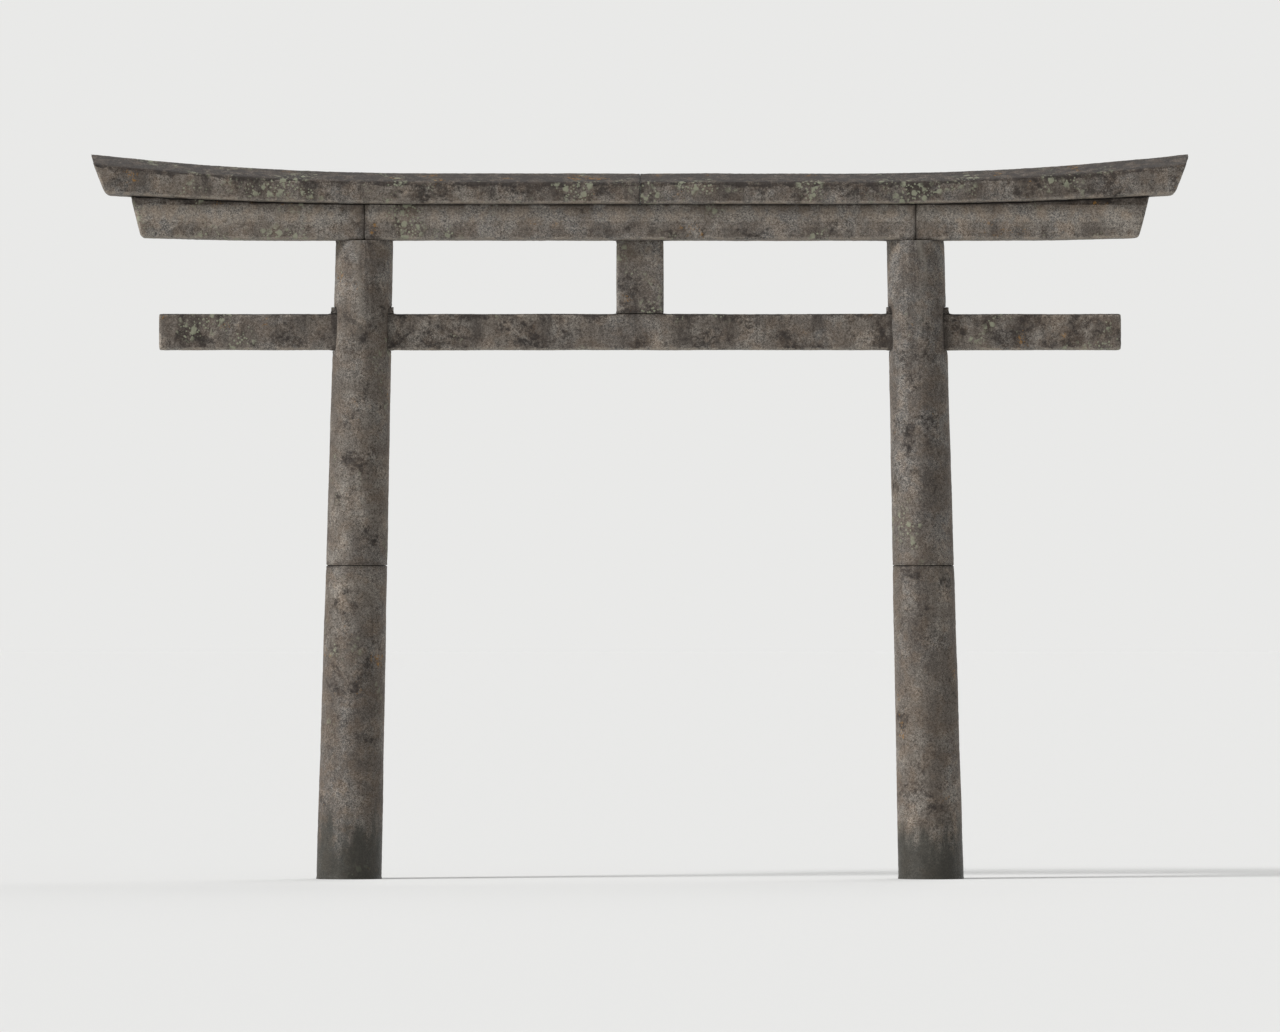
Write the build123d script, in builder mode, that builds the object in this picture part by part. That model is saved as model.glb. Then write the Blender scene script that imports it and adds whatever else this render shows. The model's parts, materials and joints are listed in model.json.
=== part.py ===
"""Stone torii gate: two leaning pillars, a through tie beam, a strut and a double curved lintel.

Millimetres, +Z up, +X from the left pillar to the right one, the front facing -Y.
The origin is the centre of the left pillar's foot, on the ground.
"""

from build123d import *
from math import cos, radians, sin, sqrt, tan
import os

os.makedirs("parts", exist_ok=True)

# Fits between the stones
BED_GAP = 0.3          # under a stone that lies on a curved or sloping bed
BUTT_GAP = 1.0         # between two stones that meet end to end
SOCKET_CLEARANCE = 2.0  # round a tenon, a dowel or a key, each side
ARRIS = 6.0            # bevel that the mason cuts on an edge

# Pillars
FOOT_SPACING = 4160.0      # between the two pillar centres at the ground
FOOT_DIAMETER = 475.0
HEAD_DIAMETER = 418.0
HEAD_HEIGHT = 4560.0       # from the ground to the lower lintel's underside
PILLAR_LEAN = 1.4          # degrees, towards the middle of the gate
DRUM_JOINT_HEIGHT = 2240.0  # where the upper drum stands on the lower one
HEAD_TENON_DIAMETER = 180.0
HEAD_TENON_HEIGHT = 70.0
DRUM_DOWEL_DIAMETER = 60.0
DRUM_DOWEL_DEPTH = 90.0    # into each drum

# Tie beam
TIE_LENGTH = 6880.0
TIE_HEIGHT = 265.0
TIE_DEPTH = 168.0
WINDOW_HEIGHT = 520.0      # open height between it and the lower lintel
TIE_LAP_COVER = 40.0       # stone left outside each end of the lap, inside the pillar

# Wedges over the tie beam, driven into each mortise from both sides
WEDGE_THICK_END = 48.0
WEDGE_THIN_END = 14.0
WEDGE_PROUD = 12.0         # how far a wedge stands out of the pillar
WEDGE_TIP_GAP = 12.0       # between the tips of two wedges

# Strut between the tie beam and the lower lintel
STRUT_WIDTH = 345.0
STRUT_DEPTH = 168.0
STRUT_TENON_WIDTH = 130.0
STRUT_TENON_DEPTH = 70.0
STRUT_TENON_HEIGHT = 45.0

# Lower lintel
LOWER_HEIGHT = 255.0            # at the middle of the gate
LOWER_TOP_STRAIGHT = 1500.0     # half of the level stretch
LOWER_TOP_RADIUS = 38000.0
LOWER_UNDERSIDE_STRAIGHT = 2500.0
LOWER_UNDERSIDE_RADIUS = 28000.0
LOWER_TOP_HALF_LENGTH = 3640.0
LOWER_END_SLANT = 13.5          # degrees off vertical, the top leaning out
LOWER_BED_DEPTH = 384.0         # front to back at the underside
LOWER_SIDE_SLANT = 3.0          # degrees, the sides leaning out

# Upper lintel
UPPER_HEIGHT = 233.0            # from its bed to the ridge, at the middle of the gate
RIDGE_STRAIGHT = 1500.0
RIDGE_RADIUS = 21300.0
RIDGE_HALF_LENGTH = 3937.0
UPPER_END_SLANT = 17.5
UPPER_BED_DEPTH = 530.0
UPPER_SIDE_SLANT = 8.0
ROOF_PITCH = 15.0               # degrees, each side of the ridge

# Keys and dowels between the lintel stones
KEY_LENGTH = 240.0
KEY_END_WIDTH = 110.0
KEY_WAIST_WIDTH = 60.0
KEY_THICKNESS = 45.0
KEY_SINK = 6.0                  # below the bed of the upper lintel
LINTEL_DOWEL_DIAMETER = 50.0
LINTEL_DOWEL_DEPTH = 70.0       # into each lintel
LINTEL_DOWEL_OUT = 1150.0       # from the middle of the gate

MIDDLE = FOOT_SPACING / 2
TIE_TOP = HEAD_HEIGHT - WINDOW_HEIGHT
TIE_UNDERSIDE = TIE_TOP - TIE_HEIGHT
LOWER_TOP_LEVEL = HEAD_HEIGHT + LOWER_HEIGHT
RIDGE_LEVEL = LOWER_TOP_LEVEL + UPPER_HEIGHT
LEAN = tan(radians(PILLAR_LEAN))
TAPER = (FOOT_DIAMETER - HEAD_DIAMETER) / 2 / HEAD_HEIGHT

# The gate seen from the front: x from the middle outwards, y upwards
elevation = Plane(origin=(MIDDLE, 0, 0), x_dir=(1, 0, 0), z_dir=(0, -1, 0))


def axis_offset(height):
    """How far a pillar's axis has moved towards the middle at this height."""
    return height * LEAN


def pillar_radius(height):
    return FOOT_DIAMETER / 2 - TAPER * height


def curve_rise(distance, straight, radius):
    """Rise of a curve that is level as far as straight and then turns up on an arc."""
    beyond = max(0.0, distance - straight)
    return radius - sqrt(radius**2 - beyond**2)


def curve_lines(half_length, level, straight, radius):
    """A level line with an arc turning up at each end, drawn from left to right."""
    end = level + curve_rise(half_length, straight, radius)
    TangentArc((-straight, level), (-half_length, end), tangent=(-1, 0))
    Line((-straight, level), (straight, level))
    TangentArc((straight, level), (half_length, end), tangent=(1, 0))
    return end


def draw_key(centre, clearance):
    """A butterfly key's outline: wide at both ends and narrow across the joint."""
    half_length = KEY_LENGTH / 2 + clearance
    half_end = KEY_END_WIDTH / 2 + clearance
    half_waist = KEY_WAIST_WIDTH / 2 + clearance
    with Locations((centre, 0)):
        Polygon(
            (-half_length, -half_end), (0, -half_waist), (half_length, -half_end),
            (half_length, half_end), (0, half_waist), (-half_length, half_end),
            align=None,
        )


def outer_arrises(beam):
    """The long edges along the top and the underside of a beam that runs along X."""
    long_edges = beam.edges().filter_by(Axis.X).group_by(Axis.Z)
    return long_edges[0] + long_edges[-1]


def save(piece, name):
    piece.part.label = name
    export_step(piece.part, f"parts/{name}.step")


# The two lintels as whole forms, which the joints then divide into stones
lower_top_end = LOWER_TOP_LEVEL + curve_rise(LOWER_TOP_HALF_LENGTH, LOWER_TOP_STRAIGHT, LOWER_TOP_RADIUS)
lower_underside_half = LOWER_TOP_HALF_LENGTH - (lower_top_end - HEAD_HEIGHT) * tan(radians(LOWER_END_SLANT))

with BuildPart() as lower_lintel:
    with BuildSketch(elevation):
        with BuildLine():
            curve_lines(LOWER_TOP_HALF_LENGTH, LOWER_TOP_LEVEL, LOWER_TOP_STRAIGHT, LOWER_TOP_RADIUS)
            underside_end = curve_lines(
                lower_underside_half, HEAD_HEIGHT, LOWER_UNDERSIDE_STRAIGHT, LOWER_UNDERSIDE_RADIUS
            )
            for side in (-1, 1):
                Line(
                    (side * lower_underside_half, underside_end),
                    (side * LOWER_TOP_HALF_LENGTH, lower_top_end),
                )
        make_face()
    extrude(amount=LOWER_BED_DEPTH, both=True)
    with BuildSketch(Plane.YZ.offset(MIDDLE)):
        height = lower_top_end - HEAD_HEIGHT
        flare = height * tan(radians(LOWER_SIDE_SLANT))
        with BuildLine():
            Polyline(
                (-LOWER_BED_DEPTH / 2, HEAD_HEIGHT),
                (LOWER_BED_DEPTH / 2, HEAD_HEIGHT),
                (LOWER_BED_DEPTH / 2 + flare, lower_top_end),
                (-LOWER_BED_DEPTH / 2 - flare, lower_top_end),
                close=True,
            )
        make_face()
    extrude(amount=LOWER_TOP_HALF_LENGTH, both=True, mode=Mode.INTERSECT)

upper_bed_level = LOWER_TOP_LEVEL + BED_GAP
ridge_end = RIDGE_LEVEL + curve_rise(RIDGE_HALF_LENGTH, RIDGE_STRAIGHT, RIDGE_RADIUS)
upper_bed_half = RIDGE_HALF_LENGTH - (ridge_end - upper_bed_level) * tan(radians(UPPER_END_SLANT))
upper_side_flare = (ridge_end - upper_bed_level) * tan(radians(UPPER_SIDE_SLANT))
upper_half_depth = UPPER_BED_DEPTH / 2 + upper_side_flare
roof_run = upper_half_depth / cos(radians(ROOF_PITCH))

with BuildPart() as roof:
    with BuildSketch(elevation) as under_ridge:
        with BuildLine():
            roof_end = curve_lines(RIDGE_HALF_LENGTH + roof_run, RIDGE_LEVEL, RIDGE_STRAIGHT, RIDGE_RADIUS)
            Polyline(
                (RIDGE_HALF_LENGTH + roof_run, roof_end),
                (RIDGE_HALF_LENGTH + roof_run, HEAD_HEIGHT),
                (-RIDGE_HALF_LENGTH - roof_run, HEAD_HEIGHT),
                (-RIDGE_HALF_LENGTH - roof_run, roof_end),
            )
        make_face()
    for side in (-1, 1):
        extrude(under_ridge.sketch, amount=roof_run, dir=(0, side, -tan(radians(ROOF_PITCH))))

with BuildPart() as upper_lintel:
    with BuildSketch(elevation):
        with BuildLine():
            curve_lines(RIDGE_HALF_LENGTH, RIDGE_LEVEL, RIDGE_STRAIGHT, RIDGE_RADIUS)
            bed_end = curve_lines(upper_bed_half, upper_bed_level, LOWER_TOP_STRAIGHT, LOWER_TOP_RADIUS)
            for side in (-1, 1):
                Line((side * upper_bed_half, bed_end), (side * RIDGE_HALF_LENGTH, ridge_end))
        make_face()
    extrude(amount=upper_half_depth, both=True)
    add(roof.part, mode=Mode.INTERSECT)
    with BuildSketch(Plane.YZ.offset(MIDDLE)):
        with BuildLine():
            Polyline(
                (-UPPER_BED_DEPTH / 2, upper_bed_level),
                (UPPER_BED_DEPTH / 2, upper_bed_level),
                (upper_half_depth, ridge_end),
                (-upper_half_depth, ridge_end),
                close=True,
            )
        make_face()
    extrude(amount=RIDGE_HALF_LENGTH, both=True, mode=Mode.INTERSECT)

# Places that both sides share, measured from the middle of the gate
head_out = MIDDLE - axis_offset(HEAD_HEIGHT)
tie_out = MIDDLE - axis_offset(TIE_UNDERSIDE + TIE_HEIGHT / 2)
lap_half = pillar_radius(TIE_TOP) - TIE_LAP_COVER
key_top = LOWER_TOP_LEVEL - KEY_SINK

for side, out in (("left", -1), ("right", 1)):
    foot = MIDDLE + out * MIDDLE
    head = MIDDLE + out * head_out
    drum_joint = MIDDLE + out * (MIDDLE - axis_offset(DRUM_JOINT_HEIGHT))
    tie_joint = MIDDLE + out * tie_out

    # The profile's plane follows the lean: x across the pillar, y along its axis
    lean = radians(PILLAR_LEAN)
    shaft_plane = Plane(origin=(foot, 0, 0), x_dir=(cos(lean), 0, out * sin(lean)), z_dir=(0, -1, 0))
    pillar_axis = Axis((foot, 0, 0), (-out * sin(lean), 0, cos(lean)))

    with BuildPart() as shaft:
        with BuildSketch(shaft_plane):
            with BuildLine():
                below, above = -FOOT_DIAMETER, HEAD_HEIGHT + HEAD_DIAMETER
                Polyline(
                    (0, below), (pillar_radius(below), below), (pillar_radius(above), above), (0, above),
                    close=True,
                )
            make_face()
        revolve(axis=pillar_axis)
        split(bisect_by=Plane.XY, keep=Keep.TOP)
        split(bisect_by=Plane.XY.offset(HEAD_HEIGHT), keep=Keep.BOTTOM)

    with BuildPart() as lower_drum:
        add(shaft.part)
        split(bisect_by=Plane.XY.offset(DRUM_JOINT_HEIGHT), keep=Keep.BOTTOM)
        chamfer(lower_drum.edges().group_by(Axis.Z)[-1], ARRIS)
        with BuildSketch(Plane.XY.offset(DRUM_JOINT_HEIGHT)):
            with Locations((drum_joint, 0)):
                Circle(DRUM_DOWEL_DIAMETER / 2 + SOCKET_CLEARANCE)
        extrude(amount=-DRUM_DOWEL_DEPTH, mode=Mode.SUBTRACT)
    save(lower_drum, f"{side}_pillar_lower_drum")

    with BuildPart() as upper_drum:
        add(shaft.part)
        split(bisect_by=Plane.XY.offset(DRUM_JOINT_HEIGHT), keep=Keep.TOP)
        chamfer(upper_drum.edges().group_by(Axis.Z)[0], ARRIS)
        with BuildSketch(Plane.XY.offset(DRUM_JOINT_HEIGHT)):
            with Locations((drum_joint, 0)):
                Circle(DRUM_DOWEL_DIAMETER / 2 + SOCKET_CLEARANCE)
        extrude(amount=DRUM_DOWEL_DEPTH + SOCKET_CLEARANCE, mode=Mode.SUBTRACT)
        with BuildSketch(Plane.XY.offset(HEAD_HEIGHT)):
            with Locations((head, 0)):
                Circle(HEAD_TENON_DIAMETER / 2)
        extrude(amount=HEAD_TENON_HEIGHT)
        # The mortise's ceiling rises from the pillar's axis to both faces, for the wedges
        reach = pillar_radius(TIE_UNDERSIDE) + WEDGE_PROUD
        with BuildSketch(Plane(origin=(tie_joint, 0, 0), x_dir=(1, 0, 0), z_dir=(0, -1, 0))):
            with BuildLine():
                Polyline(
                    (-reach, TIE_UNDERSIDE),
                    (reach, TIE_UNDERSIDE),
                    (reach, TIE_TOP + WEDGE_THICK_END + BED_GAP),
                    (0, TIE_TOP + WEDGE_THIN_END + BED_GAP),
                    (-reach, TIE_TOP + WEDGE_THICK_END + BED_GAP),
                    close=True,
                )
            make_face()
        extrude(amount=TIE_DEPTH / 2 + SOCKET_CLEARANCE, both=True, mode=Mode.SUBTRACT)
    save(upper_drum, f"{side}_pillar_upper_drum")

    with BuildPart() as drum_dowel:
        with BuildSketch(Plane.XY.offset(DRUM_JOINT_HEIGHT - DRUM_DOWEL_DEPTH)):
            with Locations((drum_joint, 0)):
                Circle(DRUM_DOWEL_DIAMETER / 2)
        extrude(amount=2 * DRUM_DOWEL_DEPTH)
    save(drum_dowel, f"{side}_pillar_drum_dowel")

    # The outer tie stone's tongue passes under the middle stone's tongue
    with BuildPart() as tie_end:
        with BuildSketch(elevation):
            inner = out * (tie_out - lap_half)
            shoulder = out * (tie_out + lap_half)
            tip = out * TIE_LENGTH / 2
            with BuildLine():
                Polyline(
                    (inner, TIE_UNDERSIDE),
                    (tip, TIE_UNDERSIDE),
                    (tip, TIE_TOP),
                    (shoulder, TIE_TOP),
                    (shoulder, TIE_UNDERSIDE + TIE_HEIGHT / 2),
                    (inner, TIE_UNDERSIDE + TIE_HEIGHT / 2),
                    close=True,
                )
            make_face()
        extrude(amount=TIE_DEPTH / 2, both=True)
        end_face = tie_end.faces().sort_by(Axis.X)[0 if out < 0 else -1]
        chamfer(outer_arrises(tie_end) + end_face.edges(), ARRIS)
    save(tie_end, f"{side}_tie_end")

    # Each wedge runs from just short of the pillar's axis to just outside its face
    for place, way in (("inner", -out), ("outer", out)):
        with BuildPart() as wedge:
            with BuildSketch(Plane(origin=(tie_joint, 0, 0), x_dir=(1, 0, 0), z_dir=(0, -1, 0))):
                slope = (WEDGE_THICK_END - WEDGE_THIN_END) / reach
                tip_x = WEDGE_TIP_GAP / 2
                with BuildLine():
                    Polyline(
                        (way * tip_x, TIE_TOP),
                        (way * reach, TIE_TOP),
                        (way * reach, TIE_TOP + WEDGE_THICK_END),
                        (way * tip_x, TIE_TOP + WEDGE_THIN_END + slope * tip_x),
                        close=True,
                    )
                make_face()
            extrude(amount=TIE_DEPTH / 2, both=True)
        save(wedge, f"{side}_{place}_wedge")

    with BuildPart() as lower_lintel_end:
        add(lower_lintel.part)
        keep = Keep.BOTTOM if out < 0 else Keep.TOP
        split(bisect_by=Plane.YZ.offset(head + out * BUTT_GAP / 2), keep=keep)
        chamfer(lower_lintel_end.edges(), ARRIS)
        with BuildSketch(Plane.XY.offset(HEAD_HEIGHT)):
            with Locations((head, 0)):
                Circle(HEAD_TENON_DIAMETER / 2 + SOCKET_CLEARANCE)
        extrude(amount=HEAD_TENON_HEIGHT + SOCKET_CLEARANCE, mode=Mode.SUBTRACT)
        with BuildSketch(Plane.XY.offset(key_top - KEY_THICKNESS)):
            draw_key(head, SOCKET_CLEARANCE)
        extrude(amount=KEY_THICKNESS * 2, mode=Mode.SUBTRACT)
    save(lower_lintel_end, f"lower_lintel_{side}")

    with BuildPart() as lintel_key:
        with BuildSketch(Plane.XY.offset(key_top - KEY_THICKNESS)):
            draw_key(head, 0)
        extrude(amount=KEY_THICKNESS)
    save(lintel_key, f"{side}_lintel_key")

    with BuildPart() as upper_lintel_half:
        add(upper_lintel.part)
        split(bisect_by=Plane.YZ.offset(MIDDLE + out * BUTT_GAP / 2), keep=keep)
        chamfer(upper_lintel_half.edges(), ARRIS)
        with BuildSketch(Plane.XY.offset(upper_bed_level)):
            with Locations((MIDDLE + out * LINTEL_DOWEL_OUT, 0)):
                Circle(LINTEL_DOWEL_DIAMETER / 2 + SOCKET_CLEARANCE)
        extrude(amount=LINTEL_DOWEL_DEPTH + SOCKET_CLEARANCE, mode=Mode.SUBTRACT)
    save(upper_lintel_half, f"upper_lintel_{side}")

    with BuildPart() as lintel_dowel:
        with BuildSketch(Plane.XY.offset(LOWER_TOP_LEVEL - LINTEL_DOWEL_DEPTH)):
            with Locations((MIDDLE + out * LINTEL_DOWEL_OUT, 0)):
                Circle(LINTEL_DOWEL_DIAMETER / 2)
        extrude(amount=2 * LINTEL_DOWEL_DEPTH)
    save(lintel_dowel, f"{side}_lintel_dowel")

with BuildPart() as lower_lintel_middle:
    add(lower_lintel.part)
    for out in (-1, 1):
        keep = Keep.TOP if out < 0 else Keep.BOTTOM
        split(bisect_by=Plane.YZ.offset(MIDDLE + out * (head_out - BUTT_GAP / 2)), keep=keep)
    chamfer(lower_lintel_middle.edges(), ARRIS)
    for out in (-1, 1):
        head = MIDDLE + out * head_out
        with BuildSketch(Plane.XY.offset(HEAD_HEIGHT)):
            with Locations((head, 0)):
                Circle(HEAD_TENON_DIAMETER / 2 + SOCKET_CLEARANCE)
        extrude(amount=HEAD_TENON_HEIGHT + SOCKET_CLEARANCE, mode=Mode.SUBTRACT)
        with BuildSketch(Plane.XY.offset(key_top - KEY_THICKNESS)):
            draw_key(head, SOCKET_CLEARANCE)
        extrude(amount=KEY_THICKNESS * 2, mode=Mode.SUBTRACT)
        with BuildSketch(Plane.XY.offset(LOWER_TOP_LEVEL)):
            with Locations((MIDDLE + out * LINTEL_DOWEL_OUT, 0)):
                Circle(LINTEL_DOWEL_DIAMETER / 2 + SOCKET_CLEARANCE)
        extrude(amount=-LINTEL_DOWEL_DEPTH, mode=Mode.SUBTRACT)
    with BuildSketch(Plane.XY.offset(HEAD_HEIGHT)):
        with Locations((MIDDLE, 0)):
            Rectangle(STRUT_TENON_WIDTH + 2 * SOCKET_CLEARANCE, STRUT_TENON_DEPTH + 2 * SOCKET_CLEARANCE)
    extrude(amount=STRUT_TENON_HEIGHT + SOCKET_CLEARANCE, mode=Mode.SUBTRACT)
save(lower_lintel_middle, "lower_lintel_middle")

# The middle tie stone: an upper tongue into each pillar, and a mortise for the strut's foot
with BuildPart() as tie_middle:
    with BuildSketch(elevation):
        with BuildLine():
            tongue = tie_out + lap_half - BUTT_GAP
            shoulder = tie_out - lap_half - BUTT_GAP
            half_height = TIE_UNDERSIDE + TIE_HEIGHT / 2
            Polyline(
                (-shoulder, TIE_UNDERSIDE),
                (shoulder, TIE_UNDERSIDE),
                (shoulder, half_height),
                (tongue, half_height),
                (tongue, TIE_TOP),
                (-tongue, TIE_TOP),
                (-tongue, half_height),
                (-shoulder, half_height),
                close=True,
            )
        make_face()
    extrude(amount=TIE_DEPTH / 2, both=True)
    chamfer(outer_arrises(tie_middle), ARRIS)
    with BuildSketch(Plane.XY.offset(TIE_TOP)):
        with Locations((MIDDLE, 0)):
            Rectangle(STRUT_TENON_WIDTH + 2 * SOCKET_CLEARANCE, STRUT_TENON_DEPTH + 2 * SOCKET_CLEARANCE)
    extrude(amount=-STRUT_TENON_HEIGHT - SOCKET_CLEARANCE, mode=Mode.SUBTRACT)
save(tie_middle, "tie_middle")

with BuildPart() as strut:
    with BuildSketch(Plane.XY.offset(TIE_TOP)):
        with Locations((MIDDLE, 0)):
            Rectangle(STRUT_WIDTH, STRUT_DEPTH)
    extrude(amount=HEAD_HEIGHT - TIE_TOP)
    chamfer(strut.edges().filter_by(Axis.Z), ARRIS)
    with BuildSketch(Plane.XY.offset(TIE_TOP - STRUT_TENON_HEIGHT)):
        with Locations((MIDDLE, 0)):
            Rectangle(STRUT_TENON_WIDTH, STRUT_TENON_DEPTH)
    extrude(amount=HEAD_HEIGHT - TIE_TOP + 2 * STRUT_TENON_HEIGHT)
save(strut, "strut")
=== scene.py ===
"""A granite torii gate, worn and weathered by long years in the open.

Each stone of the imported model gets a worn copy, with eased arrises, chips and uneven faces. Its
granite is darkened where rain runs and growth holds, and paler where the lintels shelter it.
Metres, +X from the left pillar to the right one, +Z up.
"""

import json
import math

import bpy
import numpy as np
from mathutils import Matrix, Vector


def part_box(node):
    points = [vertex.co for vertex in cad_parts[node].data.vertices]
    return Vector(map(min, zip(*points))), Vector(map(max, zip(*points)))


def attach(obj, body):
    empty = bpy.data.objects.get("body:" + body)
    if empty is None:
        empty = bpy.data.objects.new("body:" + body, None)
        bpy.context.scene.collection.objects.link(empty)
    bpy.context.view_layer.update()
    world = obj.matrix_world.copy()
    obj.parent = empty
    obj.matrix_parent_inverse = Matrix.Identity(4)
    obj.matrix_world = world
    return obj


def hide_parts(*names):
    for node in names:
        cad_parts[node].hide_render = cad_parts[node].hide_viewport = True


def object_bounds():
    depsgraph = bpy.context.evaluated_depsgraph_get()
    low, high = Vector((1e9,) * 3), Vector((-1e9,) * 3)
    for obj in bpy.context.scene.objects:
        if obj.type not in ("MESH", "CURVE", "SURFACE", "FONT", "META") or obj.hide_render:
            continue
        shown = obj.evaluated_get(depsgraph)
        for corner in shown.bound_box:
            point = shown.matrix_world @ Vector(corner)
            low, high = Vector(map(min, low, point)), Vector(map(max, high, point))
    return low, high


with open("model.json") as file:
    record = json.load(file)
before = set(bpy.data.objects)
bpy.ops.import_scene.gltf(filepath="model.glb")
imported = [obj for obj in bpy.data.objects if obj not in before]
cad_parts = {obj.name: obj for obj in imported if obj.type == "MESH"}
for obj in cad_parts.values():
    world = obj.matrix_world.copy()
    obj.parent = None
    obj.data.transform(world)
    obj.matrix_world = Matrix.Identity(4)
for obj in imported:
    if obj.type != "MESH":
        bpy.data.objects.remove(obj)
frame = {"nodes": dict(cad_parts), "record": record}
cad_low, cad_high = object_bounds()
NODES = frame["nodes"]
SUBPARTS = frame["record"]["subparts"]

# Places read from the frame
MIDDLE = (cad_low[0] + cad_high[0]) / 2
CENTRE_HEIGHT = cad_high[2] / 2
LINTEL_LOW, LINTEL_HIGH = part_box("lower_lintel_middle")
PILLAR_HEAD_OFFSET = (LINTEL_HIGH[0] - LINTEL_LOW[0]) / 2
PILLAR_TOP = LINTEL_LOW[2]
TIE_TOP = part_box("tie_middle")[1][2]
MIDDLE_JOINT_SPARE = 0.01
RIDGE_LEVEL = max(
    vertex.co.z for vertex in NODES["upper_lintel_left"].data.vertices
    if vertex.co.x > MIDDLE - MIDDLE_JOINT_SPARE
)

# How finely the stones are meshed
WELD_DISTANCE = 1e-5
FLAT_ANGLE = math.radians(0.2)
SHARP_ANGLE = math.radians(25)
SMOOTH_ANGLE = math.radians(40)
MESH_STEP = 0.012
WEDGE_MESH_STEP = 0.005

# The ground, and how far below it a foot runs until it is cut off
GROUND_SIZE = 20
FOOT_SPARE = 0.04

# How far wear reaches from an arris, dirt and painted shade from a joint, and protection from a seat
ARRIS_REACH = 0.04
JOINT_REACH = 0.06
SEAT_REACH = 0.022

# How far the arrises, faces and mortar have worn
MORTAR_SETBACK = 0.012
ROUNDING_PASSES = 12
EASING_PASSES = 4
CHIP_PASSES, CHIP_SIZE = 20, 0.11
NICK_DEPTH, NICK_SIZE = 0.005, 0.035
SWELL_DEPTH, SWELL_SIZE = 0.005, 0.45
PIT_DEPTH, PIT_SIZE = 0.0025, 0.028

# Driving rain: how far from the upright it falls, from how many sides, and what keeps it off
RAIN_TILTS = (math.radians(14), math.radians(34), math.radians(52))
RAIN_SIDES = 8
SHELTERS = [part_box(name) for name in ("upper_lintel_left", "lower_lintel_middle", "tie_middle")]
LEAST_RISE = 0.01

# Crystals and lichen patches to the metre
CRYSTALS = 190.0
PALE_PATCHES = 15.0
OCHRE_PATCHES = 26.0

# How the stones differ: a step of the golden section in tone, and where in the quarry each was cut
TONE_STEP = 0.381966
QUARRY_STEP = (37.0, 23.0, 11.0)

# Camera and light, each lamp with the way it shines, its strength and how broad it is
CAMERA_DISTANCE = 100.0
CAMERA_HEIGHT = 1.83
FRAME_SHARE = 0.86
SENSOR_WIDTH = 36.0
CLIP_END = 3000.0
STAGE_SIZE = 1600.0
LAMPS = {
    "front lamp": ((1.15, 0.62, -0.95), 2.95, math.radians(18)),
    "back lamp": ((-0.6, -1.1, -0.8), 0.95, math.radians(50)),
}
WORLD_LIGHT = 0.29


def linear(red, green, blue):
    """A colour as the eye sees it, each part from 0 to 1, as the renderer's linear values."""
    def channel(value):
        return value / 12.92 if value <= 0.04045 else ((value + 0.055) / 1.055) ** 2.4
    return (channel(red), channel(green), channel(blue), 1.0)


# Granite and what has settled on it
GREY_GRANITE = linear(0.505, 0.482, 0.450)
WARM_GRANITE = linear(0.522, 0.448, 0.375)
COOL_GRANITE = linear(0.418, 0.410, 0.400)
FELDSPAR = linear(0.700, 0.662, 0.615)
MICA = linear(0.130, 0.118, 0.110)
BROWN_FILM = linear(0.302, 0.259, 0.222)
# Dark crust, also laid on as painted shade along the joints
DARK_CRUST_AND_SHADE = linear(0.138, 0.116, 0.104)
DIRTY_WATER = linear(0.170, 0.143, 0.126)
DUST = linear(0.550, 0.500, 0.440)
LIME = linear(0.630, 0.605, 0.560)
MORTAR = linear(0.400, 0.370, 0.325)
PALE_LICHEN = linear(0.580, 0.590, 0.505)
OCHRE_LICHEN = linear(0.600, 0.430, 0.165)
DAMP_GROWTH = linear(0.125, 0.125, 0.095)
BRONZE = linear(0.42, 0.30, 0.17)
VERDIGRIS = linear(0.25, 0.42, 0.36)
FLOOR_COLOUR = linear(0.901, 0.901, 0.896)
BACKDROP_COLOUR = linear(0.914, 0.914, 0.909)


# The stones' shapes

def select_only(*pieces):
    bpy.ops.object.select_all(action="DESELECT")
    for piece in pieces:
        piece.select_set(True)
    bpy.context.view_layer.objects.active = pieces[0]


def mesh_copy(node_name, name):
    """A new object with a copy of a CAD stone's mesh."""
    copy = bpy.data.objects.new(name, NODES[node_name].data.copy())
    copy.data.materials.clear()
    bpy.context.scene.collection.objects.link(copy)
    return copy


def merge_faces(stone):
    """Turns the loose triangles of a CAD mesh into the stone's whole faces."""
    select_only(stone)
    bpy.ops.object.mode_set(mode="EDIT")
    bpy.ops.mesh.select_all(action="SELECT")
    bpy.ops.mesh.remove_doubles(threshold=WELD_DISTANCE)
    bpy.ops.mesh.dissolve_limited(angle_limit=FLAT_ANGLE)
    bpy.ops.object.mode_set(mode="OBJECT")


def arrises_of(stone):
    """The stone's sharp edges by themselves, which wear is measured from."""
    lines = bpy.data.objects.new("arrises", stone.data.copy())
    bpy.context.scene.collection.objects.link(lines)
    select_only(lines)
    bpy.ops.object.mode_set(mode="EDIT")
    bpy.ops.mesh.select_mode(type="EDGE")
    bpy.ops.mesh.select_all(action="DESELECT")
    bpy.ops.mesh.edges_select_sharp(sharpness=SHARP_ANGLE)
    bpy.ops.mesh.select_all(action="INVERT")
    bpy.ops.mesh.delete(type="EDGE_FACE")
    bpy.ops.object.mode_set(mode="OBJECT")
    return lines


def seats_of(node_name):
    """What a stone stands on and is joined to: the stones around it and the ground, as one mesh."""
    low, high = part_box(node_name)
    bpy.ops.mesh.primitive_plane_add(size=GROUND_SIZE, location=(MIDDLE, 0, 0))
    around = [bpy.context.object]
    for subpart in SUBPARTS:
        other = subpart["node"]
        other_low, other_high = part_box(other)
        meets = all(
            low[axis] - JOINT_REACH < other_high[axis] and other_low[axis] - JOINT_REACH < high[axis]
            for axis in range(3)
        )
        if other != node_name and meets:
            around.append(mesh_copy(other, "seat"))
    select_only(*around)
    bpy.ops.object.join()
    return around[0]


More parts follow.
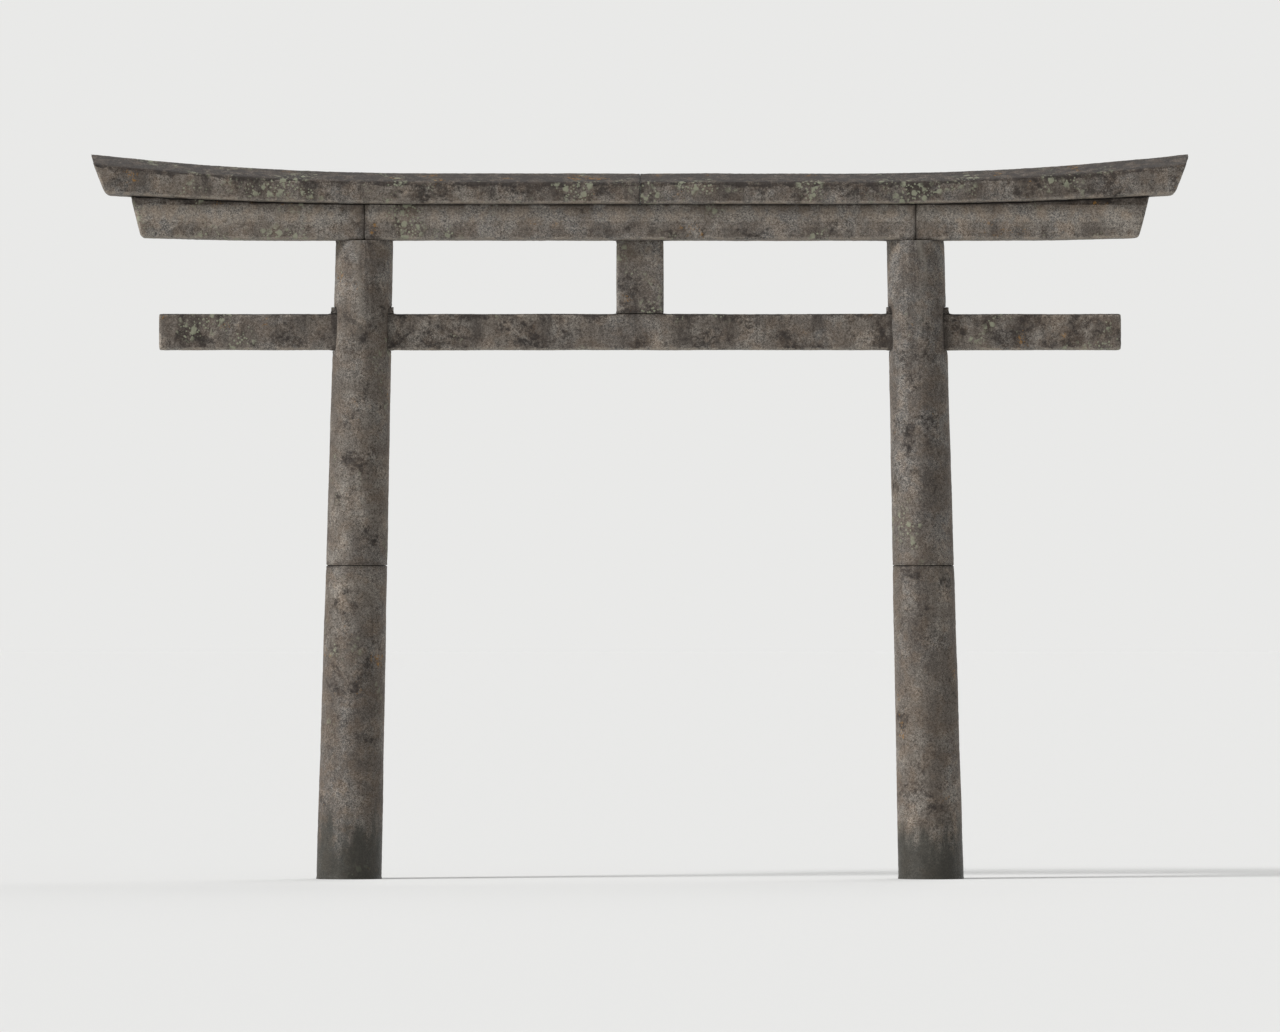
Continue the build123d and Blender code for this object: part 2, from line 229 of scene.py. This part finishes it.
def edit_points(piece, wanted):
    """Opens a piece in edit mode with the points that are wanted selected."""
    select_only(piece)
    bpy.ops.object.mode_set(mode="EDIT")
    bpy.ops.mesh.select_mode(type="VERT")
    bpy.ops.mesh.select_all(action="DESELECT")
    bpy.ops.object.mode_set(mode="OBJECT")
    for vertex in piece.data.vertices:
        vertex.select = wanted(vertex.co)
    bpy.ops.object.mode_set(mode="EDIT")


def run_on_below_ground(stone):
    """Lets a pillar's foot down past the ground, to be cut off level there once it is worn."""
    edit_points(stone, lambda point: point.z < FOOT_SPARE)
    bpy.ops.transform.translate(value=(0, 0, -FOOT_SPARE))
    bpy.ops.object.mode_set(mode="OBJECT")


def cut_off_at_ground(stone):
    select_only(stone)
    bpy.ops.object.mode_set(mode="EDIT")
    bpy.ops.mesh.select_all(action="SELECT")
    bpy.ops.mesh.bisect(plane_co=(0, 0, 0), plane_no=(0, 0, 1), use_fill=True, clear_inner=True)
    bpy.ops.object.mode_set(mode="OBJECT")


def apply_modifier(piece, kind, **settings):
    modifier = piece.modifiers.new(kind.lower(), kind)
    for name, value in settings.items():
        setattr(modifier, name, value)
    select_only(piece)
    bpy.ops.object.modifier_apply(modifier=modifier.name)


# Wear of the arrises and faces

def clouds_texture(name, size, contrast, brightness=1.0):
    texture = bpy.data.textures.new(name, "CLOUDS")
    texture.noise_scale = size
    texture.noise_depth = 3
    texture.contrast = contrast
    texture.intensity = brightness
    texture.use_clamp = True
    return texture


NICKS = clouds_texture("nicks", NICK_SIZE, contrast=2.0)
CHIPS = clouds_texture("chips", CHIP_SIZE, contrast=4.0, brightness=0.72)
SWELL = clouds_texture("swell", SWELL_SIZE, contrast=1.4)
PITS = clouds_texture("pits", PIT_SIZE, contrast=1.5)


def mark_nearness(stone, name, target, geometry, reach):
    """Weights every point of a stone from 1 on the target down to 0 at the reach."""
    group = stone.vertex_groups.new(name=name)
    group.add(range(len(stone.data.vertices)), 1.0, "REPLACE")
    apply_modifier(
        stone, "VERTEX_WEIGHT_PROXIMITY", vertex_group=name, target=target,
        proximity_mode="GEOMETRY", proximity_geometry={geometry}, min_dist=reach, max_dist=0.0,
    )


def mix_weights(stone, name, other, how, **settings):
    """Changes one group of weights by another one."""
    apply_modifier(
        stone, "VERTEX_WEIGHT_MIX", vertex_group_a=name, vertex_group_b=other, mix_mode=how,
        mix_set="B", **settings,
    )


def wear_down(stone, group, passes, away_from_group=False):
    """Rounds a stone off where a group says, the further the more passes."""
    apply_modifier(
        stone, "SMOOTH", factor=0.5, iterations=passes, vertex_group=group,
        invert_vertex_group=away_from_group,
    )


def cut_back(stone, texture, depth, group, away_from_group=False):
    """Takes stone off its face by up to the depth, as far as the texture says."""
    apply_modifier(
        stone, "DISPLACE", texture=texture, texture_coords="GLOBAL", strength=-depth, mid_level=0.0,
        vertex_group=group, invert_vertex_group=away_from_group,
    )


def mark_places_of_wear(stone, arrises, seats):
    """Weights a stone by how near its arrises, joints and seats are, and by where it is chipped."""
    mark_nearness(stone, "arris", arrises, "EDGE", ARRIS_REACH)
    mark_nearness(stone, "joint", seats, "FACE", JOINT_REACH)
    mark_nearness(stone, "seat", seats, "FACE", SEAT_REACH)

    # An arris in a joint is kept by its neighbour, and the others are chipped here and there
    mix_weights(stone, "arris", "seat", "SUB")
    stone.vertex_groups.new(name="chipped")
    mix_weights(stone, "chipped", "arris", "SET", mask_texture=CHIPS, mask_tex_mapping="GLOBAL")


def wear(stone, is_round):
    """Wears a marked stone: its arrises eased and chipped, its faces uneven and pitted."""
    # The flats that stand for a round face are smoothed away first
    if is_round:
        wear_down(stone, "seat", ROUNDING_PASSES, away_from_group=True)
    wear_down(stone, "chipped", CHIP_PASSES)
    wear_down(stone, "arris", EASING_PASSES)
    cut_back(stone, NICKS, NICK_DEPTH, "arris")
    cut_back(stone, SWELL, SWELL_DEPTH, "seat", away_from_group=True)
    cut_back(stone, PITS, PIT_DEPTH, "seat", away_from_group=True)


# What the weather leaves on each point

def covered_points(points, source, shelter):
    """Which points a lintel or the tie beam above them covers from rain that comes this way.

    The shelter counts as endless along X. A point that isn't below it is given a small height
    here, and is left out at the end.
    """
    low, high = shelter
    to_bottom = np.clip(low[2] - points[:, 2], LEAST_RISE, None)
    to_top = np.clip(high[2] - points[:, 2], LEAST_RISE, None)
    across_bottom = points[:, 1] + to_bottom * source[1] / source[2]
    across_top = points[:, 1] + to_top * source[1] / source[2]
    nearest = np.minimum(np.abs(across_bottom), np.abs(across_top))
    crossed = (across_bottom * across_top < 0) | (nearest < high[1])
    return crossed & (points[:, 2] < low[2])


def rain_share(points, normals):
    """The share of the driving rain that each point gets, from 0 to 1.

    Rain comes from all sides at a few slants. A face turned away from it gets none, and neither
    does a point that is covered along that slant.
    """
    caught, most = np.zeros(len(points)), 0.0
    for tilt in RAIN_TILTS:
        for side in range(RAIN_SIDES):
            turn = 2 * math.pi * side / RAIN_SIDES
            source = np.array((
                math.sin(tilt) * math.cos(turn), math.sin(tilt) * math.sin(turn), math.cos(tilt)
            ))
            falls = np.clip(normals @ source, 0, None)
            for shelter in SHELTERS:
                falls[covered_points(points, source, shelter)] = 0
            caught += falls
            most += source[2]
    return caught / most


def vectors_of(mesh, name):
    values = np.zeros(3 * len(mesh.vertices))
    mesh.vertices.foreach_get(name, values)
    return values.reshape(-1, 3)


def weights_of(stone, group_name):
    index = stone.vertex_groups[group_name].index
    weights = np.zeros(len(stone.data.vertices))
    for vertex in stone.data.vertices:
        for entry in vertex.groups:
            if entry.group == index:
                weights[vertex.index] = entry.weight
    return weights


def store(stone, name, values):
    attribute = stone.data.attributes.new(name, "FLOAT", "POINT")
    attribute.data.foreach_set("value", np.asarray(values, np.float32))


def store_weather(stone, tone):
    """Stores on a stone what its granite reads: rain, worn arrises, nearness to joints (for their dirt
    and painted shade) and its own tone.
    """
    mesh = stone.data
    store(stone, "rain", rain_share(vectors_of(mesh, "co"), vectors_of(mesh, "normal")))
    store(stone, "arris_wear", weights_of(stone, "arris"))
    store(stone, "joint_dirt_and_shade", weights_of(stone, "joint"))
    store(stone, "stone_tone", np.full(len(mesh.vertices), tone))


def weather(node_name, tone):
    """The worn stone that stands for a CAD stone."""
    stone = mesh_copy(node_name, f"worn_{node_name}")
    merge_faces(stone)
    arrises, seats = arrises_of(stone), seats_of(node_name)
    on_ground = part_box(node_name)[0][2] < FOOT_SPARE
    if on_ground:
        run_on_below_ground(stone)
    step = WEDGE_MESH_STEP if node_name.endswith("wedge") else MESH_STEP
    apply_modifier(stone, "REMESH", mode="VOXEL", voxel_size=step)
    mark_places_of_wear(stone, arrises, seats)
    bpy.data.objects.remove(arrises)
    bpy.data.objects.remove(seats)
    wear(stone, is_round="pillar" in node_name)
    if on_ground:
        cut_off_at_ground(stone)
    store_weather(stone, tone)
    stone.vertex_groups.clear()

    select_only(stone)
    bpy.ops.object.shade_smooth_by_angle(angle=SMOOTH_ANGLE)
    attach(stone, "root")
    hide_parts(node_name)
    return stone


def mortar_between(left_stone, right_stone):
    """Lime mortar in the upright joint between two lintel stones, set back from their faces.

    It is the end face of the left stone, drawn in and made as thick as the joint is wide.
    """
    joint_start, joint_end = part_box(left_stone)[1][0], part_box(right_stone)[0][0]
    joint_width = joint_end - joint_start
    mortar = mesh_copy(left_stone, f"mortar_beside_{left_stone}")
    merge_faces(mortar)
    edit_points(mortar, lambda point: point.x < joint_start - joint_width)
    bpy.ops.mesh.delete(type="VERT")
    bpy.ops.mesh.select_all(action="SELECT")
    bpy.ops.mesh.inset(thickness=MORTAR_SETBACK)
    bpy.ops.mesh.select_all(action="INVERT")
    bpy.ops.mesh.delete(type="FACE")
    bpy.ops.object.mode_set(mode="OBJECT")
    apply_modifier(mortar, "SOLIDIFY", thickness=joint_width, offset=1.0)
    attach(mortar, "root")
    return mortar


# Wiring of materials

class Wiring:
    """Adds nodes to one node tree. A value is a plain one or another node's output."""

    def __init__(self, tree):
        self.tree = tree

    def give(self, socket, value):
        if isinstance(value, bpy.types.NodeSocket):
            self.tree.links.new(value, socket)
        else:
            socket.default_value = value

    def give_all(self, node, values):
        for name, value in values.items():
            self.give(node.inputs[name.replace("_", " ")], value)

    def node(self, kind, **values):
        node = self.tree.nodes.new(f"ShaderNode{kind}")
        self.give_all(node, values)
        return node

    def math(self, operation, *values, kind="Math"):
        node = self.node(kind)
        node.operation = operation
        for socket, value in zip(node.inputs, values):
            self.give(socket, value)
        return node.outputs[0]

    def times(self, first, second):
        return self.math("MULTIPLY", first, second)

    def plus(self, first, second):
        return self.math("ADD", first, second)

    def minus(self, first, second):
        return self.math("SUBTRACT", first, second)

    def without(self, share, taken):
        """A share with another one taken out of it."""
        return self.times(share, self.minus(1.0, taken))

    def fade(self, value, start, end):
        """0 up to the start, 1 from the end on, and smooth between them."""
        node = self.node("MapRange", Value=value, From_Min=start, From_Max=end)
        node.interpolation_type = "SMOOTHSTEP"
        return node.outputs["Result"]

    def scaled(self, place, factors):
        return self.math("MULTIPLY", place, factors, kind="VectorMath")

    def noise(self, place, scale, detail=4.0, roughness=0.58, distortion=0.0):
        node = self.node(
            "TexNoise", Vector=place, Scale=scale, Detail=detail, Roughness=roughness,
            Distortion=distortion,
        )
        return node.outputs["Fac"]

    def cells(self, place, scale, output="Distance", feature="F1"):
        node = self.node("TexVoronoi", Vector=place, Scale=scale)
        node.feature = feature
        return node.outputs[output]

    def attribute(self, name):
        node = self.node("Attribute")
        node.attribute_name = name
        return node.outputs["Fac"]

    def cover(self, under, over, share, most=1.0):
        """Lays one colour over another, by this share of the most that it may hide."""
        node = self.node("Mix")
        node.data_type = "RGBA"
        self.give(node.inputs[0], self.times(share, most))
        self.give(node.inputs[6], under)
        self.give(node.inputs[7], over)
        return node.outputs[2]

    def effect(self, group, **values):
        """What a shared effect puts out when it is given these values."""
        node = self.node("Group")
        node.node_tree = group
        self.give_all(node, values)
        return node.outputs


# Effects that the materials share

NUMBER, VECTOR = "NodeSocketFloat", "NodeSocketVector"


def new_group(name, inputs, outputs):
    """A shader group that takes and puts out numbers, and takes a place as its Position."""
    group = bpy.data.node_groups.new(name, "ShaderNodeTree")
    for entry in inputs:
        kind = VECTOR if entry == "Position" else NUMBER
        group.interface.new_socket(entry, in_out="INPUT", socket_type=kind)
    for result in outputs:
        group.interface.new_socket(result, in_out="OUTPUT", socket_type=NUMBER)
    given, made = group.nodes.new("NodeGroupInput"), group.nodes.new("NodeGroupOutput")
    return group, Wiring(group), given.outputs, made.inputs


def granite_tones():
    """Where the granite is grey and where it is warm, and the mottle that breaks up what is on it."""
    group, wire, given, made = new_group("granite tones", ["Position"], ["Grey", "Warm", "Mottle"])
    place = given["Position"]
    mottle = wire.noise(place, 9.0, 6.0, 0.62)
    wire.give(made["Grey"], wire.fade(wire.noise(place, 1.1, 4.0, 0.55, 0.8), 0.40, 0.62))
    wire.give(made["Warm"], wire.fade(mottle, 0.44, 0.64))
    wire.give(made["Mottle"], mottle)
    return group


def granite_grain():
    """Crystals of the granite, pale feldspar and dark mica, and the height of its rough face."""
    group, wire, given, made = new_group(
        "granite grain", ["Position", "Crystals"], ["Feldspar", "Mica", "Height"]
    )
    place, scale = given["Position"], given["Crystals"]
    kinds = wire.node("SeparateColor", Color=wire.cells(place, scale, "Color")).outputs
    clusters = wire.noise(place, wire.times(scale, 0.3), 2.0, 0.5)
    crowded = wire.fade(clusters, 0.50, 0.62)
    sparse = wire.minus(1.0, wire.fade(clusters, 0.38, 0.50))
    wire.give(made["Feldspar"], wire.fade(wire.plus(kinds[0], wire.times(crowded, 0.3)), 0.66, 0.74))
    wire.give(made["Mica"], wire.fade(wire.plus(kinds[1], wire.times(sparse, 0.35)), 0.84, 0.92))
    pecks = wire.cells(place, wire.times(scale, 0.4), "Distance", "SMOOTH_F1")
    rough = wire.noise(place, wire.times(scale, 0.7), 3.0)
    dressing = wire.times(wire.plus(wire.times(pecks, 0.6), rough), 0.6)
    crumbs = wire.times(wire.noise(place, 50.0, 5.0, 0.66), 0.8)
    wire.give(made["Height"], wire.plus(dressing, crumbs))
    return group


def dust_and_film():
    """Dust where rain never reaches, and a brown film in patches, more of it where rain does."""
    group, wire, given, made = new_group(
        "dust and film", ["Position", "Mottle", "Rained on"], ["Dust", "Film"]
    )
    rained_on = given["Rained on"]
    wire.give(made["Dust"], wire.without(wire.fade(given["Mottle"], 0.35, 0.60), rained_on))
    uneven = wire.noise(given["Position"], 4.2, 6.0, 0.6, 0.4)
    wire.give(made["Film"], wire.fade(wire.plus(uneven, wire.times(rained_on, 0.14)), 0.46, 0.72))
    return group


def arrises_and_joints():
    """Where the arrises are rubbed bare, and dirt with painted shade along the joints and where a stone
    meets the ground.
    """
    group, wire, given, made = new_group(
        "arrises and joints", ["Arris", "Joint", "Mottle"], ["Rubbed", "Grime_and_shade"]
    )
    mottle = given["Mottle"]
    rubbed = wire.times(wire.fade(given["Arris"], 0.45, 0.95), wire.fade(mottle, 0.40, 0.56))
    # Painted shade and dirt near the joints and the ground, broken up by the mottle
    grime_and_shade = wire.times(wire.fade(given["Joint"], 0.25, 1.0), wire.fade(mottle, 0.36, 0.56))
    wire.give(made["Rubbed"], rubbed)
    wire.give(made["Grime_and_shade"], grime_and_shade)
    return group


def dark_crust():
    """Dark growth where rain keeps the stone wet, in patches and specks, and where it is thin."""
    group, wire, given, made = new_group("dark crust", ["Position", "Rain", "Amount"], ["Mask", "Thin"])
    place = given["Position"]
    patches = wire.noise(place, 3.4, 8.0, 0.66, 0.5)
    specks = wire.noise(place, 32.0, 4.0, 0.7)
    uneven = wire.plus(wire.times(patches, 0.7), wire.times(specks, 0.3))
    wet = wire.times(wire.fade(given["Rain"], 0.0, 0.7), given["Amount"])
    wire.give(made["Mask"], wire.fade(wire.plus(wet, uneven), 0.56, 0.68))
    wire.give(made["Thin"], wire.fade(wire.noise(place, 12.0, 6.0, 0.68, 0.3), 0.44, 0.62))
    return group


def rain_streaks():
    """Runs of dirty water down the upright faces, broad ones and threads beside them."""
    group, wire, given, made = new_group(
        "rain streaks", ["Position", "Rain", "Length", "Amount"], ["Mask"]
    )
    place = given["Position"]
    drawn_out = wire.math("DIVIDE", 0.1, given["Length"])
    runs_down = wire.scaled(place, wire.node("CombineXYZ", X=1.0, Y=1.0, Z=drawn_out).outputs[0])
    broad = wire.noise(runs_down, 6.0, 5.0, 0.62)
    narrow = wire.noise(runs_down, 27.0, 4.0, 0.66)
    broken = wire.noise(place, 2.0, 3.0)
    runs = wire.times(wire.fade(broad, 0.45, 0.66), wire.fade(broken, 0.30, 0.55))
    threads = wire.times(wire.fade(narrow, 0.50, 0.66), wire.fade(broad, 0.36, 0.56))
    both = wire.math("MAXIMUM", runs, wire.times(threads, 0.75))
    wet = wire.times(wire.fade(given["Rain"], 0.02, 0.2), given["Amount"])
    wire.give(made["Mask"], wire.times(both, wet))
    return group


def joint_seepage():
    """Water that seeps from the joints at this offset from the middle, and dries out below them.

    Rain washes it off the faces that look up.
    """
    group, wire, given, made = new_group(
        "joint seepage", ["Position", "Rain", "Offset", "Spread", "Top", "Reach"], ["Mask"]
    )
    place = given["Position"]
    apart = wire.node("SeparateXYZ", Vector=place).outputs
    from_middle = wire.math("ABSOLUTE", wire.minus(apart["X"], MIDDLE))
    strayed = wire.plus(from_middle, wire.times(wire.minus(wire.noise(place, 3.0, 3.0), 0.5), 0.16))
    from_joint = wire.math("ABSOLUTE", wire.minus(strayed, given["Offset"]))
    near = wire.minus(1.0, wire.fade(from_joint, 0.0, given["Spread"]))
    threads = wire.noise(wire.scaled(place, (1.0, 1.0, 0.06)), 34.0, 4.0, 0.65)
    dried = wire.fade(wire.minus(given["Top"], apart["Z"]), 0.0, given["Reach"])
    seeped = wire.without(wire.times(near, wire.fade(threads, 0.38, 0.60)), dried)
    wire.give(made["Mask"], wire.without(seeped, wire.fade(given["Rain"], 0.35, 0.75)))
    return group


def lichen_patches():
    """Round patches of lichen with ragged rims, in scattered colonies."""
    group, wire, given, made = new_group("lichen", ["Position", "Patches", "Cover"], ["Mask"])
    place, scale = given["Position"], given["Patches"]
    ragged = wire.times(wire.noise(place, wire.times(scale, 3.0), 5.0, 0.75), 0.7)
    large = wire.fade(wire.plus(wire.cells(place, scale), ragged), 0.62, 0.72)
    small = wire.fade(wire.plus(wire.cells(place, wire.times(scale, 2.7)), ragged), 0.60, 0.70)
    spots = wire.minus(1.0, wire.math("MINIMUM", large, small))
    colonies = wire.noise(place, wire.times(scale, 0.14), 5.0, 0.62)
    here = wire.fade(wire.plus(colonies, given["Cover"]), 0.90, 0.98)
    wire.give(made["Mask"], wire.times(spots, here))
    return group


def damp_foot():
    """The dark damp foot of a pillar, ragged along its upper edge."""
    group, wire, given, made = new_group("damp foot", ["Position", "Height"], ["Mask"])
    place = given["Position"]
    level = wire.node("SeparateXYZ", Vector=place).outputs["Z"]
    fingers = wire.noise(wire.scaled(place, (1.0, 1.0, 0.3)), 9.0, 5.0, 0.62)
    tide = wire.plus(given["Height"], wire.times(wire.minus(fingers, 0.5), 0.9))
    wire.give(made["Mask"], wire.fade(wire.minus(tide, level), -0.08, 0.22))
    return group


TONES, GRAIN = granite_tones(), granite_grain()
SETTLED, EDGES = dust_and_film(), arrises_and_joints()
CRUST, STREAKS, SEEPAGE = dark_crust(), rain_streaks(), joint_seepage()
LICHEN, DAMP = lichen_patches(), damp_foot()


# The granite's layers, from the bare stone outwards

def bare_granite(wire, tone, tones, grain):
    """Granite as it was quarried, cooler and warmer in places, with its crystals."""
    colour = wire.cover(COOL_GRANITE, GREY_GRANITE, tones["Grey"])
    colour = wire.cover(colour, WARM_GRANITE, tones["Warm"], 0.6)
    colour = wire.cover(colour, COOL_GRANITE, tone, 0.45)
    colour = wire.cover(colour, FELDSPAR, grain["Feldspar"], 0.5)
    return wire.cover(colour, MICA, grain["Mica"], 0.7)


def browned(wire, colour, settled, rubbed):
    """Dust and a brown film, which is rubbed off the arrises and leaves them pale."""
    colour = wire.cover(colour, DUST, settled["Dust"], 0.35)
    colour = wire.cover(colour, BROWN_FILM, wire.without(settled["Film"], rubbed), 0.6)
    return wire.cover(colour, FELDSPAR, rubbed, 0.22)


def crusted(wire, colour, growth, feldspar):
    """Dark growth, brown where it is thin, with pale crystals that show through it there."""
    growth_colour = wire.cover(DARK_CRUST_AND_SHADE, BROWN_FILM, growth["Thin"], 0.75)
    crystals = wire.times(wire.times(feldspar, growth["Thin"]), 0.4)
    return wire.cover(colour, growth_colour, wire.without(wire.times(growth["Mask"], 0.92), crystals))


def seeped(wire, colour, place, rain, offset, top, reach):
    """Dirty water and a little lime below the joints."""
    dirt = wire.effect(
        SEEPAGE, Position=place, Rain=rain, Offset=offset, Spread=0.13, Top=top, Reach=reach
    )
    lime = wire.effect(
        SEEPAGE, Position=place, Rain=rain, Offset=offset + 0.04, Spread=0.05, Top=top,
        Reach=reach * 0.7,
    )
    colour = wire.cover(colour, DIRTY_WATER, dirt["Mask"], 0.55)
    return wire.cover(colour, LIME, lime["Mask"], 0.3)


# The materials

def new_material(name):
    material = bpy.data.materials.new(name)
    material.use_nodes = True
    wire = Wiring(material.node_tree)
    return material, wire, material.node_tree.nodes["Principled BSDF"].inputs


def stone_material(name, crust, streaks, streak_length, lichen, joint_grime_and_shade, seeping, damp_height):
    """Granite as it has weathered on one kind of stone of the gate.

    Seeping gives how far from the middle the joints above it are, how high up their water starts
    and how far down it runs.
    """
    material, wire, surface = new_material(name)
    place = wire.node("TexCoord").outputs["Object"]
    tone, rain = wire.attribute("stone_tone"), wire.attribute("rain")
    arris, joint = wire.attribute("arris_wear"), wire.attribute("joint_dirt_and_shade")
    rained_on = wire.fade(rain, 0.0, 0.14)

    # Each stone was cut from its own place in the quarry
    own = wire.math("MULTIPLY_ADD", tone, QUARRY_STEP, place, kind="VectorMath")
    tones = wire.effect(TONES, Position=own)
    grain = wire.effect(GRAIN, Position=own, Crystals=CRYSTALS)
    settled = wire.effect(SETTLED, Position=own, Mottle=tones["Mottle"], Rained_on=rained_on)
    edges = wire.effect(EDGES, Arris=arris, Joint=joint, Mottle=tones["Mottle"])
    growth = wire.effect(CRUST, Position=own, Rain=rain, Amount=crust)
    runs = wire.effect(STREAKS, Position=place, Rain=rain, Length=streak_length, Amount=streaks)
    pale = wire.effect(LICHEN, Position=own, Patches=PALE_PATCHES, Cover=lichen)["Mask"]
    ochre = wire.effect(LICHEN, Position=place, Patches=OCHRE_PATCHES, Cover=lichen - 0.05)["Mask"]
    damp = wire.effect(DAMP, Position=place, Height=damp_height)["Mask"]

    colour = bare_granite(wire, tone, tones, grain)
    colour = browned(wire, colour, settled, edges["Rubbed"])
    colour = crusted(wire, colour, growth, grain["Feldspar"])
    colour = wire.cover(colour, DIRTY_WATER, runs["Mask"])
    # Painted shade, with dirt, along the joints and where a stone meets the ground
    colour = wire.cover(colour, DARK_CRUST_AND_SHADE, edges["Grime_and_shade"], joint_grime_and_shade)
    colour = seeped(wire, colour, place, rain, *seeping)
    colour = wire.cover(colour, PALE_LICHEN, pale, 0.7)
    colour = wire.cover(colour, OCHRE_LICHEN, wire.times(ochre, rained_on), 0.6)
    colour = wire.cover(colour, DAMP_GROWTH, damp, 0.82)
    wire.give(surface["Base Color"], colour)

    # Crystals and damp shine a little, and lichen roughens the face further
    sheen = wire.plus(wire.times(grain["Feldspar"], 0.12), wire.times(damp, 0.3))
    wire.give(surface["Roughness"], wire.minus(0.9, sheen))
    wire.give(surface["Specular IOR Level"], 0.4)
    relief = wire.plus(grain["Height"], wire.times(wire.math("MAXIMUM", pale, ochre), 0.5))
    bump = wire.node("Bump", Strength=0.6, Distance=0.004, Height=relief)
    wire.give(surface["Normal"], bump.outputs["Normal"])
    return material


def bronze_material():
    """Dull bronze with green in patches, for the pins and keys inside the joints."""
    material, wire, surface = new_material("bronze")
    place = wire.node("TexCoord").outputs["Object"]
    bloom = wire.fade(wire.noise(place, 40.0, 5.0, 0.6), 0.48, 0.64)
    wire.give(surface["Base Color"], wire.cover(BRONZE, VERDIGRIS, bloom))
    wire.give(surface["Metallic"], wire.minus(1.0, bloom))
    wire.give(surface["Roughness"], wire.plus(wire.times(bloom, 0.4), 0.45))
    return material


def mortar_material():
    """Old lime mortar, grey with dirt."""
    material, wire, surface = new_material("lime mortar")
    place = wire.node("TexCoord").outputs["Object"]
    dirt = wire.fade(wire.noise(place, 25.0, 6.0, 0.65), 0.35, 0.65)
    wire.give(surface["Base Color"], wire.cover(MORTAR, DARK_CRUST_AND_SHADE, dirt, 0.7))
    wire.give(surface["Roughness"], 0.95)
    bump = wire.node("Bump", Strength=0.5, Distance=0.002, Height=wire.noise(place, 400.0))
    wire.give(surface["Normal"], bump.outputs["Normal"])
    return material


# How each kind of stone has weathered, with no damp on those that stand clear of the ground
NO_DAMP = -9.0
FINISHES = {
    "pillar_stone": stone_material(
        "pillar granite", crust=0.32, streaks=0.35, streak_length=1.1, lichen=0.33, joint_grime_and_shade=0.4,
        seeping=(PILLAR_HEAD_OFFSET, PILLAR_TOP, 1.4), damp_height=0.42,
    ),
    "tie_stone": stone_material(
        "tie granite", crust=0.50, streaks=0.75, streak_length=0.5, lichen=0.32, joint_grime_and_shade=0.75,
        seeping=(PILLAR_HEAD_OFFSET, TIE_TOP, 0.3), damp_height=NO_DAMP,
    ),
    "lintel_stone": stone_material(
        "lintel granite", crust=0.60, streaks=0.9, streak_length=0.5, lichen=0.35, joint_grime_and_shade=0.75,
        seeping=(0.0, RIDGE_LEVEL, 0.6), damp_height=NO_DAMP,
    ),
    "bronze": bronze_material(),
}

# The stones, and the pins and keys that keep their shape
for index, subpart in enumerate(SUBPARTS):
    node_name, slot = subpart["node"], subpart["material_slot"]
    if slot == "bronze":
        dressed = NODES[node_name]
        dressed.data.materials.clear()
    else:
        dressed = weather(node_name, tone=(index * TONE_STEP) % 1.0)
    dressed.data.materials.append(FINISHES[slot])

# Mortar in the lintels' upright joints
mortar_finish = mortar_material()
for joined in (
    ("lower_lintel_left", "lower_lintel_middle"),
    ("lower_lintel_middle", "lower_lintel_right"),
    ("upper_lintel_left", "upper_lintel_right"),
):
    mortar = mortar_between(*joined)
    mortar.data.materials.append(mortar_finish)

# The floor
floor_material, floor_wire, floor_surface = new_material("pale floor")
floor_wire.give(floor_surface["Base Color"], FLOOR_COLOUR)
floor_wire.give(floor_surface["Roughness"], 0.95)
floor_wire.give(floor_surface["Specular IOR Level"], 0.1)
bpy.ops.mesh.primitive_plane_add(size=STAGE_SIZE, location=(MIDDLE, 0, 0))
floor = bpy.context.object
floor.name = "pale_floor"
floor.data.materials.append(floor_material)

# Light from all round, with a backdrop as pale as the lit floor
world = bpy.data.worlds.new("studio")
bpy.context.scene.world = world
world.use_nodes = True
studio = Wiring(world.node_tree)
light = studio.node("Background", Color=(1.0, 1.0, 1.0, 1.0), Strength=WORLD_LIGHT)
backdrop = studio.node("Background", Color=BACKDROP_COLOUR, Strength=1.0)
ray = studio.node("LightPath").outputs
mirrored = studio.math("MAXIMUM", ray["Is Glossy Ray"], ray["Is Transmission Ray"])
seen = studio.node("MixShader", Fac=studio.math("MAXIMUM", ray["Is Camera Ray"], mirrored))
studio.give(seen.inputs[1], light.outputs[0])
studio.give(seen.inputs[2], backdrop.outputs[0])
studio.give(world.node_tree.nodes["World Output"].inputs["Surface"], seen.outputs[0])

# One broad lamp from the left, the front and above, and a weaker, broader one from behind
for name, (direction, strength, angle) in LAMPS.items():
    lamp = bpy.data.objects.new(name, bpy.data.lights.new(name, "SUN"))
    lamp.data.energy = strength
    lamp.data.angle = angle
    lamp.rotation_euler = Vector(direction).to_track_quat("-Z", "Y").to_euler()
    bpy.context.scene.collection.objects.link(lamp)

# The camera, far off and straight in front at eye height, as in the photograph
camera = bpy.data.objects.new("camera", bpy.data.cameras.new("camera"))
camera.data.sensor_width = SENSOR_WIDTH
camera.data.lens = SENSOR_WIDTH * CAMERA_DISTANCE * FRAME_SHARE / (cad_high[0] - cad_low[0])
camera.data.clip_end = CLIP_END
camera.location = (MIDDLE, -CAMERA_DISTANCE, CAMERA_HEIGHT)
aim = Vector((MIDDLE, 0.0, CENTRE_HEIGHT)) - camera.location
camera.rotation_euler = aim.to_track_quat("-Z", "Y").to_euler()
bpy.context.scene.collection.objects.link(camera)
bpy.context.scene.camera = camera
bpy.context.scene.view_settings.view_transform = "Standard"
